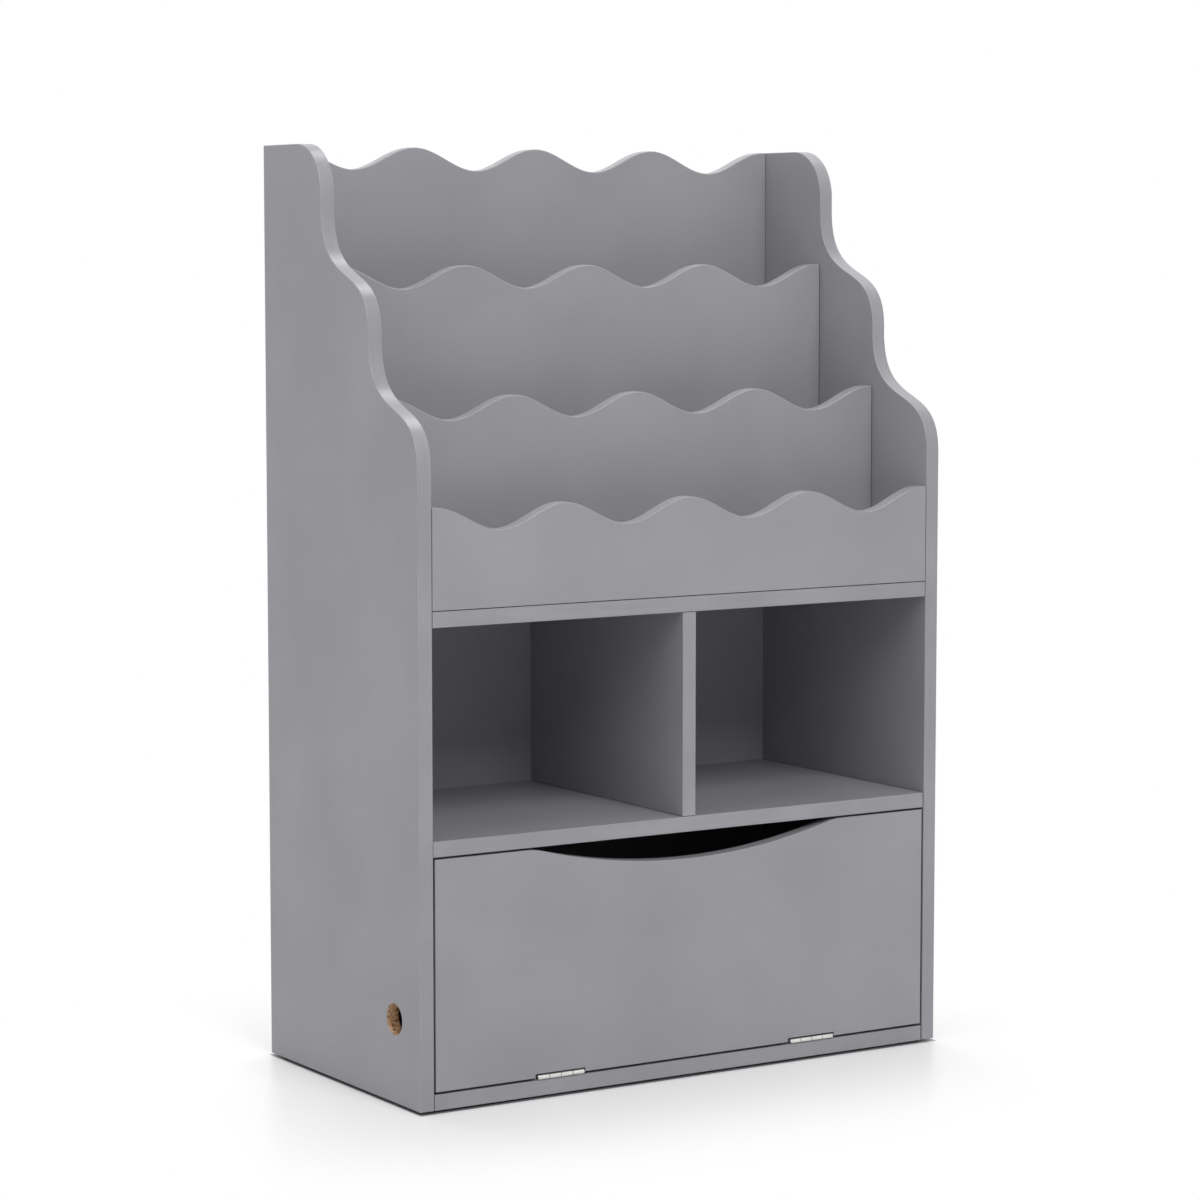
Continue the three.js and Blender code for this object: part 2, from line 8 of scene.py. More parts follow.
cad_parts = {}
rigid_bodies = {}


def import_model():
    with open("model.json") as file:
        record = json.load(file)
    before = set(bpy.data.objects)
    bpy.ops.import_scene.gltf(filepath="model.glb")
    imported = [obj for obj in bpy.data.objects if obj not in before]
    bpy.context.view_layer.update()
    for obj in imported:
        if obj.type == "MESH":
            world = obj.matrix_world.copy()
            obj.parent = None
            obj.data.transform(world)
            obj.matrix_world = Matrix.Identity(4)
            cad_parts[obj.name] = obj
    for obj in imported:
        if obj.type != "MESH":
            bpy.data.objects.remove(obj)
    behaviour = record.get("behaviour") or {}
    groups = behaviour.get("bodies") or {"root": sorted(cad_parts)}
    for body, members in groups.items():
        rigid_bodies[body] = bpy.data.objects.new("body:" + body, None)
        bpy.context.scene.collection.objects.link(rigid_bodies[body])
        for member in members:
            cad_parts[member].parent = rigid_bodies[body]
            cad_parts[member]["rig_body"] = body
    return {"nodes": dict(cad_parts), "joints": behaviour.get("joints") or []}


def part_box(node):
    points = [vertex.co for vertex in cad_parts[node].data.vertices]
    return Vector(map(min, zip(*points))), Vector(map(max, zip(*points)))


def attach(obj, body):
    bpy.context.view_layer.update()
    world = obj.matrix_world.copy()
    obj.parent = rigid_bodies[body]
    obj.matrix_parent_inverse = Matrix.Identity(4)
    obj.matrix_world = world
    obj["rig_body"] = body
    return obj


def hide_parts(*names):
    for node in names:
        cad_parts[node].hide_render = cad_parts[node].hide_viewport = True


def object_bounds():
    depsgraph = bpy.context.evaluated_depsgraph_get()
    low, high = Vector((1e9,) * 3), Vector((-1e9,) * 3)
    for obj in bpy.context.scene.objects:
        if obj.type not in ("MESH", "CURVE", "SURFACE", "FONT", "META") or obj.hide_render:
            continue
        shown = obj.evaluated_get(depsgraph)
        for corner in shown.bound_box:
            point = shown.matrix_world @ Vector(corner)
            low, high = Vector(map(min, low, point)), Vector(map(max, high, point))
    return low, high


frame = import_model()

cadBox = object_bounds()
scene = bpy.context.scene
mm = 0.001  # sizes in this script are millimetres, and Blender's are metres

# The camera stands front left, a little above the middle, and looks slightly down
cameraView = {
    "place": (-1928.8, -3032.5, 807.4),
    "turn": 32.3627,
    "down": 5.618,
    "lens": 108.62,
    "sensor": 36,
}

cameraData = bpy.data.cameras.new("camera")
cameraData.lens = cameraView["lens"]
cameraData.sensor_width = cameraView["sensor"]
camera = bpy.data.objects.new("camera", cameraData)
camera.location = Vector(cameraView["place"]) * mm
camera.rotation_euler = (radians(90 - cameraView["down"]), 0, -radians(cameraView["turn"]))
scene.collection.objects.link(camera)
scene.camera = camera
print("camera ready")


# Materials

def toLinear(hexColour):
    channels = [int(hexColour[start:start + 2], 16) / 255 for start in (1, 3, 5)]
    linear = [c / 12.92 if c <= 0.04045 else ((c + 0.055) / 1.055) ** 2.4 for c in channels]
    return (*linear, 1)


def perMetre(size):  # how often a pattern of this size in mm repeats in a metre
    return 1000 / size


# Another node's output is linked, and a constant goes into its socket or setting
def setNode(tree, node, values):
    for key, value in values.items():
        if isinstance(value, bpy.types.NodeSocket):
            tree.links.new(value, node.inputs[key])
        elif isinstance(key, int) or key in node.inputs:
            node.inputs[key].default_value = value
        else:
            setattr(node, key, value)


def addNode(tree, kind, values={}):
    node = tree.nodes.new(kind)
    setNode(tree, node, values)
    return node


def noise(tree, place, scale, detail, roughness=0.5):
    values = {"Scale": scale, "Detail": detail, "Roughness": roughness, "Vector": place}
    return addNode(tree, "ShaderNodeTexNoise", values).outputs["Fac"]


# Scales the place so that a pattern drawn on it has these sizes in mm along X, Y and Z
def stretched(tree, place, sizes):
    values = {"Scale": [perMetre(size) for size in sizes], "Vector": place}
    return addNode(tree, "ShaderNodeMapping", values).outputs["Vector"]


def ramp(tree, value, start=(0, 1), end=(0, 1), kind="LINEAR"):
    values = {"interpolation_type": kind, "Value": value, "From Min": start[0],
              "From Max": start[1], "To Min": end[0], "To Max": end[1]}
    return addNode(tree, "ShaderNodeMapRange", values).outputs["Result"]


# Mixes two colours, each a hex colour or a node's output
def blend(tree, share, first, second):
    first, second = [toLinear(end) if isinstance(end, str) else end for end in (first, second)]
    values = {"data_type": "RGBA", 0: share, 6: first, 7: second}
    return addNode(tree, "ShaderNodeMix", values).outputs[2]


def bump(tree, pattern, height):
    values = {"Strength": 1, "Distance": height * mm, "Height": pattern}
    return addNode(tree, "ShaderNodeBump", values).outputs["Normal"]


def startMaterial(name):
    material = bpy.data.materials.new(name)
    material.use_nodes = True
    tree = material.node_tree
    place = addNode(tree, "ShaderNodeTexCoord").outputs["Object"]
    return material, tree, tree.nodes["Principled BSDF"], place


usualSpan = (0.35, 0.65)  # most of a noise pattern's values lie between these

# Satin lacquer sprayed on fibreboard: an even cool grey with a faint cloudiness, a soft sheen,
# and a fine orange peel that breaks the sheen up
faceLacquer = {
    "light": "#9b9a9f",
    "dark": "#939297",
    "cloudSize": 140,
    "peelSize": 2.2,  # the real one is about 1 mm, drawn coarser so that it shows
    "peelSpan": (0.3, 0.7),
    "peelHeight": 0.011,
    "dustSize": 0.9,
    "dustShare": 0.15,  # part that the fine speckle has in the colour
    "roughest": 0.52,
    "smoothest": 0.42,
    "ior": 1.5,
}
# The same lacquer on edges, which are routed, sealed and sanded before it: glossier, so that the
# curves catch the light, with faint lines along the edge where the board's layers differ
edgeLacquer = {
    "light": "#9b9a9f",
    "dark": "#929196",
    "cloudSize": 60,
    "peelSize": 1.2,
    "peelSpan": (0.3, 0.7),
    "peelHeight": 0.012,
    "lineWidth": 1.8,  # layers are about 0.5 mm, drawn coarser so that they show
    "lineLength": 140,
    "lineShare": 0.4,
    "roughest": 0.36,
    "smoothest": 0.27,
    "ior": 1.5,
}


# An edge has lines, stacked along the board's thickness axis, and a face has a speckle instead
def lacquer(name, look, thicknessAxis=None):
    material, tree, shader, place = startMaterial(name)
    cloud = noise(tree, place, perMetre(look["cloudSize"]), 3)
    if thicknessAxis is None:
        fine = noise(tree, place, perMetre(look["dustSize"]), 1)
        fineShare = look["dustShare"]
    else:
        sizes = [look["lineWidth"] if axis == thicknessAxis else look["lineLength"]
                 for axis in "xyz"]
        fine = noise(tree, stretched(tree, place, sizes), 1, 2)
        fineShare = look["lineShare"]
    tone = addNode(tree, "ShaderNodeMix", {0: fineShare, 2: cloud, 3: fine}).outputs[0]
    peel = noise(tree, place, perMetre(look["peelSize"]), 2)
    setNode(tree, shader, {
        "Base Color": blend(tree, ramp(tree, tone, usualSpan), look["dark"], look["light"]),
        "Roughness": ramp(tree, peel, look["peelSpan"], (look["smoothest"], look["roughest"])),
        "IOR": look["ior"],
        "Normal": bump(tree, peel, look["peelHeight"]),
    })
    return material


satinLacquer = lacquer("satinLacquerOnFibreboard", faceLacquer)
satinEdgeLacquer = {axis: lacquer(f"satinLacquerOnSandedEdge{axis.upper()}", edgeLacquer, axis)
                    for axis in "xyz"}

# Raw medium-density fibreboard, drilled: felted brown fibres with darker flecks and a furry bore
fibreboard = {
    "ground": "#c08c5a",
    "fibre": "#f7dab4",
    "fleck": "#4c331c",
    "fibreSize": (2.2, 2.2, 2.2),  # real fibres are under 1 mm, drawn coarser so that they show
    "fibreSpan": (0.35, 0.65),
    "fibreHarshness": 0.7,  # how strongly the finest fibres show
    "fibreHeight": 0.35,
    "fleckSize": (2.6, 2.6, 2.6),
    "fleckSpan": (0.52, 0.66),
    "fleckDetail": 3,
    "fleckShare": 0.85,
    "roughness": 0.92,
    "ior": 1.45,
}
# Beech dowel rod, planed and fluted: straight pale grain with short dark flecks
beech = {
    "ground": "#d3b083",
    "fibre": "#bb9160",
    "fleck": "#8e6537",
    "fibreSize": (40, 1.2, 1.2),
    "fibreSpan": (0.38, 0.62),
    "fibreHarshness": 0.5,
    "fibreHeight": 0.03,
    "fleckSize": (2.5, 0.35, 0.35),
    "fleckSpan": (0.6, 0.7),
    "fleckDetail": 1,
    "fleckShare": 1,
    "roughness": 0.62,
    "ior": 1.5,
}


# Fibres, and darker flecks over them
def fibrous(name, look):
    material, tree, shader, place = startMaterial(name)
    fibres = noise(tree, stretched(tree, place, look["fibreSize"]), 1, 4, look["fibreHarshness"])
    flecks = noise(tree, stretched(tree, place, look["fleckSize"]), 1, look["fleckDetail"])
    wood = blend(tree, ramp(tree, fibres, look["fibreSpan"]), look["ground"], look["fibre"])
    dark = ramp(tree, flecks, look["fleckSpan"], (0, look["fleckShare"]))
    setNode(tree, shader, {
        "Base Color": blend(tree, dark, wood, look["fleck"]),
        "Roughness": look["roughness"],
        "IOR": look["ior"],
        "Normal": bump(tree, fibres, look["fibreHeight"]),
    })
    return material


rawFibreboard = fibrous("rawFibreboard", fibreboard)
flutedBeech = fibrous("beech", beech)

# Nickel-plated steel, rolled and tumbled: bright and warm white, with short soft scuffs along
# the pin
nickel = {
    "smoothColour": "#f0efec",
    "roughColour": "#c6c5c1",
    "patternSize": (14, 0.5, 0.5),
    "patternHeight": 0.004,
    "smoothest": 0.13,
    "roughest": 0.28,
}
# Die-cast zinc: a greyer, grainy skin as it leaves the mould
castZinc = {
    "smoothColour": "#bdbdbb",
    "roughColour": "#9b9c9b",
    "patternSize": (0.8, 0.8, 0.8),
    "patternHeight": 0.02,
    "smoothest": 0.40,
    "roughest": 0.58,
}
# Injection-moulded polyethylene of the glides: near black, waxy, with a fine spark-eroded grain
glidePlastic = {
    "smoothColour": "#343436",
    "roughColour": "#424245",
    "patternSize": (0.7, 0.7, 0.7),  # about 0.3 mm in the mould, drawn coarser so that it shows
    "patternHeight": 0.02,
    "smoothest": 0.48,
    "roughest": 0.62,
    "ior": 1.51,
}
# Injection-moulded ABS of the catches: off-white and half matt, with the same kind of grain
catchPlastic = {
    "smoothColour": "#dddcd7",
    "roughColour": "#e8e7e3",
    "patternSize": (0.8, 0.8, 0.8),
    "patternHeight": 0.012,
    "smoothest": 0.36,
    "roughest": 0.48,
    "ior": 1.54,
}


# One fine pattern shifts the colour, the sheen and the surface together
def patterned(name, look, detail, **nature):
    material, tree, shader, place = startMaterial(name)
    pattern = noise(tree, stretched(tree, place, look["patternSize"]), 1, detail)
    tone = ramp(tree, pattern, usualSpan)
    setNode(tree, shader, {
        "Base Color": blend(tree, tone, look["smoothColour"], look["roughColour"]),
        "Roughness": ramp(tree, tone, end=(look["smoothest"], look["roughest"])),
        "Normal": bump(tree, pattern, look["patternHeight"]),
        **nature,
    })
    return material


nickelPlatedSteel = patterned("nickelPlatedSteel", nickel, 3, Metallic=1)
dieCastZinc = patterned("dieCastZinc", castZinc, 3, Metallic=1)
mouldedPolyethylene = patterned("mouldedPolyethylene", glidePlastic, 2, IOR=glidePlastic["ior"])
mouldedAbs = patterned("mouldedAbs", catchPlastic, 2, IOR=catchPlastic["ior"])
print("materials ready")


# Shapes are (vertices in mm, faces, finish of each face), made solid by newPiece

faceFinish, edgeFinish, boreFinish = 0, 1, 2
onlyFinish = 0  # on a piece of one material
smallRound, midRound, largeRound = 24, 32, 48  # sides of a round shape, by its size
past = 1  # how far a cutting shape stands out of what it cuts
shading = {
    "sharpFrom": 38,  # degrees between two faces from which their edge stays sharp
    "oneSpot": 0.001,  # vertices closer than this are joined
}
outwards = {"left": -1, "right": 1}  # the way out of the cabinet, along X
shelfNames = ("base", "lower", "upper")


def newPiece(name, shapes, finishes):
    vertices, faces, finishIndex = [], [], []
    for shapeVertices, shapeFaces, shapeFinish in shapes:
        start = len(vertices)
        vertices += [vertex * mm for vertex in shapeVertices]
        faces += [[start + corner for corner in face] for face in shapeFaces]
        finishIndex += shapeFinish
    mesh = bpy.data.meshes.new(name)
    mesh.from_pydata(vertices, [], faces)
    for finish in finishes:
        mesh.materials.append(finish)
    mesh.polygons.foreach_set("material_index", finishIndex)
    piece = bpy.data.objects.new(name, mesh)
    scene.collection.objects.link(piece)
    return piece


# Cuts shapes out of a piece, or joins them to it
def carve(piece, shapes, operation="DIFFERENCE"):
    tool = newPiece("tool", shapes, piece.data.materials)
    modifier = piece.modifiers.new("carve", "BOOLEAN")
    modifier.object = tool
    modifier.operation = operation
    modifier.solver = "EXACT"
    modifier.use_self = True
    whole = piece.evaluated_get(bpy.context.evaluated_depsgraph_get())
    carved = bpy.data.meshes.new_from_object(whole)
    piece.modifiers.clear()
    oldMeshes = (piece.data, tool.data)
    piece.data = carved
    bpy.data.objects.remove(tool)
    for mesh in oldMeshes:
        bpy.data.meshes.remove(mesh)


def camelCase(node):
    first, *others = node.split("_")
    return first + "".join(word.capitalize() for word in others)


# Joins vertices that lie on one spot, which would tilt the shading of the face they belong to
def shade(piece):
    mesh = bmesh.new()
    mesh.from_mesh(piece.data)
    bmesh.ops.remove_doubles(mesh, verts=mesh.verts, dist=shading["oneSpot"] * mm)
    mesh.to_mesh(piece.data)
    mesh.free()
    piece.data.shade_smooth()
    piece.data.set_sharp_from_angle(angle=radians(shading["sharpFrom"]))
    piece.modifiers.new("evenShading", "WEIGHTED_NORMAL").keep_sharp = True


# Lets the piece stand for its CAD node and move with that node's body
def settle(piece, node):
    shade(piece)
    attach(piece, frame["nodes"][node]["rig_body"])
    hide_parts(node)


def boxOf(node):
    low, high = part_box(node)
    return low / mm, high / mm


def centreOf(node):
    low, high = boxOf(node)
    return (low + high) / 2


def innerFace(side):
    return boxOf(f"{side}_side_panel")[1 if side == "left" else 0].x


# An outline from corners of (across, up, edge rounding, corner rounding), anticlockwise. A corner
# rounding of 0 marks a point on a smooth curve. Gives (point, way out, edge rounding) all along
def outlineOf(corners, cornerSteps=5):
    outline = []
    for index, (across, up, edge, rounding) in enumerate(corners):
        here = Vector((across, up))
        before = (here - Vector(corners[index - 1][:2])).normalized()
        after = (Vector(corners[(index + 1) % len(corners)][:2]) - here).normalized()
        if not rounding:
            way = (before + after).normalized()
            outline.append((here, Vector((way.y, -way.x)), edge))
            continue
        turn = atan2(before.cross(after), before.dot(after))
        side = 1 if turn > 0 else -1
        start = atan2(-before.x, before.y)
        inward = side * rounding * Vector((before.y, -before.x))
        centre = here - before * rounding * tan(abs(turn) / 2) - inward
        for step in range(cornerSteps + 1):
            angle = start + turn * step / cornerSteps
            out = Vector((cos(angle), sin(angle)))
            outline.append((centre + side * rounding * out, out, edge))
    return outline


# Corners of an upright rectangle. Edge roundings go bottom, right, top, left; where a wide one
# meets a narrow one it tapers down to it. More points may run along the top, from right to left
def rectangle(left, bottom, right, top, edges, taper=2.4, alongTop=()):
    places = [(left, bottom), (right, bottom), (right, top), (left, top)]
    ways = [(1, 0), (0, 1), (-1, 0), (0, -1)]
    corners = []
    for index, (across, up) in enumerate(places):
        arriving, leaving = edges[index - 1], edges[index]
        edge = min(arriving, leaving)
        if arriving > edge:
            back = ways[index - 1]
            corners.append((across - back[0] * taper, up - back[1] * taper, arriving, 0))
        corners.append((across, up, edge, edge))
        if leaving > edge:
            on = ways[index]
            corners.append((across + on[0] * taper, up + on[1] * taper, leaving, 0))
        if index == 2:
            corners += alongTop
    return corners


# How a flat piece lies: the outline's two directions, the way through it, and the axis of its level
lays = {
    "front": (Vector((1, 0, 0)), Vector((0, 0, 1)), Vector((0, -1, 0)), Vector((0, 1, 0))),
    "side": (Vector((0, 1, 0)), Vector((0, 0, 1)), Vector((1, 0, 0)), Vector((1, 0, 0))),
    "flat": (Vector((1, 0, 0)), Vector((0, 1, 0)), Vector((0, 0, 1)), Vector((0, 0, 1))),
}


# A flat piece with softened edges, starting at a level
def flatShape(corners, lay, level, thickness, edgeSteps=4, edgeFinish=edgeFinish):
    alongU, alongV, through, levelAxis = lays[lay]
    outline = outlineOf(corners)
    vertices, faces, finish = [], [], []
    leans = [pi / 2 * step / edgeSteps for step in range(edgeSteps + 1)]
    rings = [(lean, 0) for lean in leans] + [(lean, 1) for lean in reversed(leans)]
    for lean, farSide in rings:
        for point, out, edge in outline:
            flat = point - out * edge * (1 - sin(lean))
            depth = edge * (1 - cos(lean))
            deep = thickness - depth if farSide else depth
            vertices.append(alongU * flat.x + alongV * flat.y + through * deep + levelAxis * level)
    count = len(outline)
    for ring in range(len(rings) - 1):
        for index in range(count):
            after = (index + 1) % count
            low, high = ring * count, (ring + 1) * count
            faces.append([low + index, low + after, high + after, high + index])
            finish.append(edgeFinish)
    faces.append(list(reversed(range(count))))
    faces.append(list(range((len(rings) - 1) * count, len(rings) * count)))
    finish += [faceFinish, faceFinish]
    return vertices, faces, finish


# A plate of one material, whose edges are too fine to need more steps
def plateShape(corners, lay, level, thickness, edgeSteps=2):
    return flatShape(corners, lay, level, thickness, edgeSteps, onlyFinish)


# A turned piece from its profile of (radius, height), bottom to top, standing along Z. A relief
# changes the radius by height and angle. Finishes go band by band, or one for all
def turnedShape(profile, sides, place=Matrix(), finish=onlyFinish, relief=None):
    vertices, faces, finishes, rings = [], [], [], []
    for radius, height in profile:
        ring = []
        for side in range(sides if radius else 1):
            angle = 2 * pi * side / sides
            reach = radius + (relief(height, angle) if relief and radius else 0)
            ring.append(len(vertices))
            vertices.append(place @ Vector((reach * cos(angle), reach * sin(angle), height)))
        rings.append(ring)
    for band, (low, high) in enumerate(zip(rings, rings[1:])):
        for side in range(sides):
            after = (side + 1) % sides
            face = [low[side % len(low)], low[after % len(low)],
                    high[after % len(high)], high[side % len(high)]]
            faces.append(list(dict.fromkeys(face)))
            finishes.append(finish[band] if isinstance(finish, list) else finish)
    return vertices, faces, finishes


# A plain round bore or rod between two points
def rodShape(diameter, start, end, sides=midRound, finish=boreFinish):
    along = Vector(end) - Vector(start)
    place = Matrix.Translation(start) @ along.to_track_quat("Z", "Y").to_matrix().to_4x4()
    radius, length = diameter / 2, along.length
    return turnedShape([(0, 0), (radius, 0), (radius, length), (0, length)], sides, place, finish)


# A block between two corners, whose foot may be narrower than its top
def blockShape(low, high, finish=onlyFinish, place=Matrix(), footShare=1):
    middle = (Vector(low) + Vector(high)) / 2
    half = (Vector(high) - Vector(low)) / 2
    vertices = []
    for z, share in ((-1, footShare), (1, 1)):
        for x, y in ((-1, -1), (1, -1), (1, 1), (-1, 1)):
            reach = Vector((x * half.x * share, y * half.y * share, z * half.z))
            vertices.append(place @ (middle + reach))
    faces = [[3, 2, 1, 0], [4, 5, 6, 7], [0, 1, 5, 4], [1, 2, 6, 5], [2, 3, 7, 6], [3, 0, 4, 7]]
    return vertices, faces, [finish] * len(faces)


# A cross recess, cut down from z = 0
def crossShapes(length, width, depth, place, footShare=1):
    long, thin = length / 2, width / 2
    return [blockShape((-long, -thin, -depth), (long, thin, depth), onlyFinish, place, footShare),
            blockShape((-thin, -long, -depth), (thin, long, depth), onlyFinish, place, footShare)]


# The relief of a turned rod with a thread, which fades out at its plain neck below z = 0
def threadOf(look):
    pitch, depth, neck = look["threadPitch"], look["threadDepth"], look["plainNeck"]

    def relief(height, angle):
        turns = height / pitch - angle / (2 * pi)
        crest = abs(2 * (turns % 1) - 1)
        fade = max(0, min(1, (-neck - height) / pitch))
        return -depth * (1 - crest) * fade

    return relief


# Screws, with the head's face at z = 0 and the tip below it

screw = {
    "head": 5,
    "headHeight": 1.3,
    "headRim": 0.12,
    "shank": 2.5,
    "length": 11,
    "tip": 2.5,
    "tipWaist": (0.55, 0.5),  # share of the shank's radius at this share of the tip
    "threadPitch": 1.1,
    "threadDepth": 0.32,
    "stepsPerTurn": 6,
    "plainNeck": 2.4,
    "sides": 20,
    "recessLength": 2.8,
    "recessWidth": 0.7,
    "recessDepth": 0.8,
    "recessFoot": 0.6,  # the recess narrows to this share at its bottom
    "boreClearance": 0.3,
    "mouthStart": 0.02,  # the straight mouth of a bore starts just clear of the face
}
headUp = Matrix()
headDown = Matrix.Rotation(pi, 4, "X")
headBack = Matrix.Rotation(-pi / 2, 4, "X")


def screwPiece(node, turn):
    head, shank, length = screw["head"] / 2, screw["shank"] / 2, screw["length"]
    rim, tip, pitch = screw["headRim"], screw["tip"], screw["threadPitch"]
    low, high = boxOf(node)
    at = (low + high) / 2
    face = Vector(turn.col[2][:3])
    for axis in range(3):
        if abs(face[axis]) > 0.5:
            at[axis] = high[axis] if face[axis] > 0 else low[axis]
    place = Matrix.Translation(at) @ turn
    tipTop = tip - length
    steps = round((-screw["plainNeck"] - tipTop) / pitch * screw["stepsPerTurn"])
    rise = pitch / screw["stepsPerTurn"]
    waist, waistUp = screw["tipWaist"]
    profile = [(0, -length), (shank * waist, -length + tip * waistUp)]
    profile += [(shank, tipTop + step * rise) for step in range(steps + 1)]
    profile += [(shank, -screw["headHeight"]), (head, -rim), (head - rim, 0), (0, 0)]
    shape = turnedShape(profile, screw["sides"], place, onlyFinish, threadOf(screw))
    piece = newPiece(camelCase(node), [shape], [nickelPlatedSteel])
    carve(piece, crossShapes(screw["recessLength"], screw["recessWidth"], screw["recessDepth"],
                             place, screw["recessFoot"]))
    settle(piece, node)
    return place


def screwPair(word, turn):
    return [screwPiece(f"{word}_screw_{number}", turn) for number in (1, 2)]


# The bore of a screw in what it holds, with a straight mouth over the head
def screwBore(place, finish=boreFinish, mouth=past):
    grown, length, neck = screw["boreClearance"], screw["length"], -screw["headHeight"]
    head, shank = screw["head"] / 2 + grown, screw["shank"] / 2 + grown
    profile = [(0, -length - grown), (shank, screw["tip"] - length), (shank, neck),
               (head, screw["mouthStart"]), (head, mouth), (0, mouth)]
    return turnedShape(profile, smallRound, place, finish)


hingeWords = [f"{side}_hinge" for side in outwards]
cabinetHingeScrews = {word: screwPair(f"{word}_cabinet", headUp) for word in hingeWords}
flapHingeScrews = {word: screwPair(f"{word}_flap", headDown) for word in hingeWords}
catchScrews = {side: screwPair(f"{side}_catch", headDown) for side in outwards}
strikeScrews = {side: screwPiece(f"{side}_strike_screw", headBack) for side in outwards}
print("screws made")


# Boards

board = {
    "thickness": 15,
    "edge": 0.6,  # rounding of the edges that show
    "crest": 1.3,  # rounding of the wavy tops, which hands reach over
    "panelEdge": 0.9,  # rounding of the side panels' edges
    "joint": 0.3,  # rounding of the edges that meet another board
    "gap": 0.45,  # hairline left between a board and what it meets
    "leftGap": {"base": 0.45, "lower": 0.2, "upper": 0.4},
    "rightGap": {"base": 1.5, "lower": 1.3, "upper": 0.9, "tier": 0.75},  # wider at the right ends
    "underTier": 0.75,  # hairline under the bottom tier
    "boreClearance": 0.3,
}
gap, joint, softEdge = board["gap"], board["joint"], board["edge"]
thicknessAxes = {"front": "y", "side": "x", "flat": "z"}

# Diameters of the fittings in the ends of the shelves, as their CAD boxes have them
fitting = {"bolt": 6, "boltNeck": 4, "boltHead": 6.4, "cam": 15, "dowel": 8, "nail": 2}


def makeBoard(node, corners, lay, level, bores=()):
    finishes = [satinLacquer, satinEdgeLacquer[thicknessAxes[lay]], rawFibreboard]
    shape = flatShape(corners, lay, level, board["thickness"])
    piece = newPiece(camelCase(node), [shape], finishes)
    if bores:
        carve(piece, bores)
    settle(piece, node)


sidePanel = {
    "stepLines": (-58, 34),  # where the front edge stands behind each S-curve
    "swoopTops": (719.5, 842.5),
    "swoopHeight": 120,
    "upperPull": 0.72,
    "lowerPull": 0.64,
    "crown": 48,
    "swoopSteps": 40,
    "crownSteps": 24,
    "vent": 30,
    "ventPlace": (-101, 82),
    "ventRim": 0.5,
    "ventBreak": 2.4,  # chamfer where the drill broke out inside
    "ventSides": 64,
}


def bezier(points, share):
    rest = 1 - share
    weights = (rest ** 3, 3 * rest ** 2 * share, 3 * rest * share ** 2, share ** 3)
    return tuple(sum(weight * point[axis] for weight, point in zip(weights, points))
                 for axis in (0, 1))


def panelCorners(low, high):
    edge, crown, height = board["panelEdge"], sidePanel["crown"], sidePanel["swoopHeight"]
    upperPull, lowerPull = sidePanel["upperPull"] * height, sidePanel["lowerPull"] * height
    lowerLine, upperLine = sidePanel["stepLines"]
    corners = [(low.y, low.z), (high.y, low.z), (high.y, high.z)]
    corners = [(across, up, edge, edge) for across, up in corners]
    for step in range(sidePanel["crownSteps"] + 1):
        angle = pi / 2 * (1 + step / sidePanel["crownSteps"])
        across = upperLine + crown + crown * cos(angle)
        corners.append((across, high.z - crown + crown * sin(angle), edge, 0))
    lowerTop, upperTop = sidePanel["swoopTops"]
    for back, front, top in ((upperLine, lowerLine, upperTop), (lowerLine, low.y, lowerTop)):
        bottom = top - height
        controls = [(back, top), (back, top - upperPull),
                    (front, bottom + lowerPull), (front, bottom)]
        for step in range(sidePanel["swoopSteps"] + 1):
            corners.append((*bezier(controls, step / sidePanel["swoopSteps"]), edge, 0))
    return corners


# The vent: raw inside, with the lacquer drawn a little way round its outer rim
def ventShape(inner, outer):
    radius, rim, chamfer = sidePanel["vent"] / 2, sidePanel["ventRim"], sidePanel["ventBreak"]
    across = abs(outer - inner)
    turn = pi / 2 if outer < inner else -pi / 2
    place = Matrix.Translation((outer, *sidePanel["ventPlace"])) @ Matrix.Rotation(turn, 4, "Y")
    lacquered = [(0, -past), (radius + rim, -past)]
    lacquered += [(radius + rim * (1 - sin(lean)), rim * (1 - cos(lean)))
                  for lean in (0, pi / 6, pi / 3, pi / 2)]
    raw = [(radius, across - chamfer), (radius + chamfer, across),
           (radius + chamfer, across + past), (0, across + past)]
    finish = [edgeFinish] * (len(lacquered) - 1) + [boreFinish] * len(raw)
    return turnedShape(lacquered + raw, sidePanel["ventSides"], place, finish)


def panelBores(side, outward, inner, foot):
    clear = board["boreClearance"]
    bores = []
    for name in shelfNames:
        for kind in ("bolt", "dowel"):
            low, high = boxOf(f"{name}_{side}_{kind}")
            _, y, z = (low + high) / 2
            mouth = inner - outward * past
            tip = (low.x if outward < 0 else high.x) + outward * clear
            bores.append(rodShape(fitting[kind] + 2 * clear, (mouth, y, z), (tip, y, z)))
    for end in ("front", "rear"):
        low, high = boxOf(f"{end}_{side}_glide")
        x, y, _ = (low + high) / 2
        top = high.z + clear
        bores.append(rodShape(fitting["nail"] + 2 * clear, (x, y, foot - past), (x, y, top)))
    return bores


for side, outward in outwards.items():
    node = f"{side}_side_panel"
    low, high = boxOf(node)
    inner, outer = (high.x, low.x) if outward < 0 else (low.x, high.x)
    bores = [ventShape(inner, outer), *panelBores(side, outward, inner, low.z)]
    makeBoard(node, panelCorners(low, high), "side", low.x, bores)
print("side panels made")

wave = {"count": 4, "depth": 22.4, "flat": 4, "stepsPerWave": 48}


def wavyTop(left, right, crest):
    reach = right - left - 2 * wave["flat"]
    steps = wave["count"] * wave["stepsPerWave"]
    points = []
    for step in range(steps + 1):
        drop = wave["depth"] / 2 * (1 - cos(2 * pi * step / wave["stepsPerWave"]))
        across = right - wave["flat"] - reach * step / steps
        points.append((across, crest - drop, board["crest"], 0))
    return points


